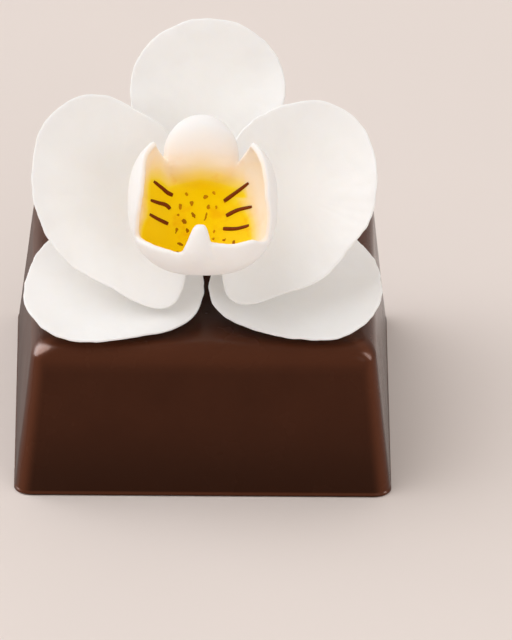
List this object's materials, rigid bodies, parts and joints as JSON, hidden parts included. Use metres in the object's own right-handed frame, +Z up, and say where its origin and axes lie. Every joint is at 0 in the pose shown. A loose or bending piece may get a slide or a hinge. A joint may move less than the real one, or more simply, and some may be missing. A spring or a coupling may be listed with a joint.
{
  "type": "chocolate bonbon with a sugar orchid",
  "caption": "Square moulded dark chocolate bonbon with drafted sides, topped by a white sugar orchid with a yellow, freckled lip.",
  "frame": {"origin": "middle of the chocolate's flat base, on the surface it stands on", "axes": "+Z up through the chocolate and the flower, -Y towards the front that the flower faces, +X to the right seen from the front"},
  "size_m": [0.03, 0.03, 0.0322],
  "materials": {
    "dark_chocolate": "tempered dark chocolate, satin gloss",
    "white_sugar": "matt white sugar paste",
    "lip_sugar": "white sugar paste dusted yellow inside, with painted brown lines and freckles"
  },
  "bodies": {
    "root": {"chocolate": "dark_chocolate", "flower_heart": "white_sugar", "sepal_top": "white_sugar", "petal_left": "white_sugar", "petal_right": "white_sugar", "sepal_lower_left": "white_sugar", "sepal_lower_right": "white_sugar", "lip": "lip_sugar"}
  },
  "joints": []
}
